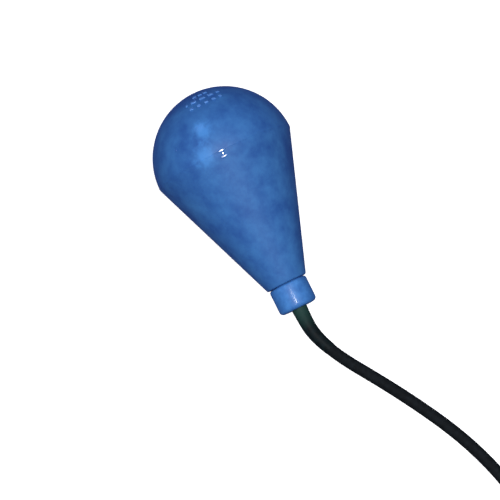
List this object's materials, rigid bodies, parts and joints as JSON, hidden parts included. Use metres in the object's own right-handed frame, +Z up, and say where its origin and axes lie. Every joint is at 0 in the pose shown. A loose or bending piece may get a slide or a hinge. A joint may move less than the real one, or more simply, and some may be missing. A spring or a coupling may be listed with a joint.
{
  "type": "cable float switch",
  "caption": "Pear-shaped blue cable float switch lying on its side, with a pendulum micro-switch inside, a gland nut, a bend relief and a coiled black lead.",
  "frame": {"origin": "on the surface it lies on, under the middle of the float itself (case and gland nut, without its cable)", "axes": "+X along the float from the ball end towards the cable, +Z up"},
  "size_m": [0.4905, 0.1504, 0.0977],
  "materials": {
    "case_polypropylene": "moulded, satin gloss",
    "nut_polypropylene": "moulded, gloss",
    "epdm_rubber": "matte",
    "cable_rubber": "satin",
    "frame_plastic": "moulded",
    "arm_plastic": "moulded",
    "switch_plastic": "moulded",
    "plunger_plastic": "moulded",
    "zinc_plated_steel": "plated",
    "cast_iron": "painted",
    "brass": "stamped",
    "spring_bronze": "rolled",
    "tinned_brass": "tin plated",
    "core_brown": "extruded",
    "core_black": "extruded",
    "core_blue": "extruded",
    "tie_fabric": "woven hook and loop"
  },
  "bodies": {
    "case": {"dome_shell": "case_polypropylene", "cone_shell": "case_polypropylene", "gland_nut": "nut_polypropylene", "gland_seal": "epdm_rubber", "gland_washer": "zinc_plated_steel", "bend_relief": "epdm_rubber", "carrier": "frame_plastic", "carrier_screws": "zinc_plated_steel", "ballast_weight": "cast_iron", "ballast_screws": "zinc_plated_steel", "stop_bumpers": "epdm_rubber", "pivot_pin": "zinc_plated_steel", "pivot_clips": "zinc_plated_steel", "switch_case": "switch_plastic", "switch_cover": "switch_plastic", "switch_screws": "zinc_plated_steel", "lever_pin": "zinc_plated_steel", "common_terminal": "brass", "no_terminal": "brass", "nc_terminal": "brass", "receptacles": "tinned_brass", "lead_brown": "core_brown", "lead_black": "core_black", "lead_blue": "core_blue", "cord_clamp": "frame_plastic", "clamp_screws": "zinc_plated_steel", "cable_inner_end": "cable_rubber", "cable_lead": "cable_rubber", "cable_coil": "cable_rubber", "cable_run": "cable_rubber", "cable_tail": "cable_rubber", "coil_ties": "tie_fabric", "tail_core_brown": "core_brown", "tail_core_black": "core_black", "tail_core_blue": "core_blue", "tail_ferrules": "tinned_brass"},
    "pendulum": {"pendulum_arm": "arm_plastic", "pendulum_weight": "zinc_plated_steel", "weight_rivet": "brass"},
    "lever": {"switch_lever": "zinc_plated_steel"},
    "plunger": {"switch_plunger": "plunger_plastic"},
    "blade": {"contact_blade": "spring_bronze"}
  },
  "joints": [
    {"name": "pendulum_swing", "type": "hinge", "parent": "case", "child": "pendulum", "pos_m": [-0.02988, 0, 0.04709], "axis": [0, 1, 0], "range_deg": [0, 30]},
    {"name": "lever_tilt", "type": "hinge", "parent": "case", "child": "lever", "pos_m": [0.006, 0, 0.04118], "axis": [0, 1, 0], "range_deg": [-11.2, 0]},
    {"name": "plunger_travel", "type": "slide", "parent": "case", "child": "plunger", "axis": [-0.2994, 0, -0.9541], "range_m": [0, 0.00132]},
    {"name": "blade_flex", "type": "hinge", "parent": "case", "child": "blade", "pos_m": [-0.01102, 0, 0.05375], "axis": [0, 1, 0], "range_deg": [0, 3.6]}
  ],
  "couplings": [
    {"joint": "lever_tilt", "follows": "pendulum_swing", "ratio": -0.37},
    {"joint": "plunger_travel", "follows": "pendulum_swing", "m_per_rad": 0.0025},
    {"joint": "blade_flex", "follows": "pendulum_swing", "ratio": 0.119}
  ]
}
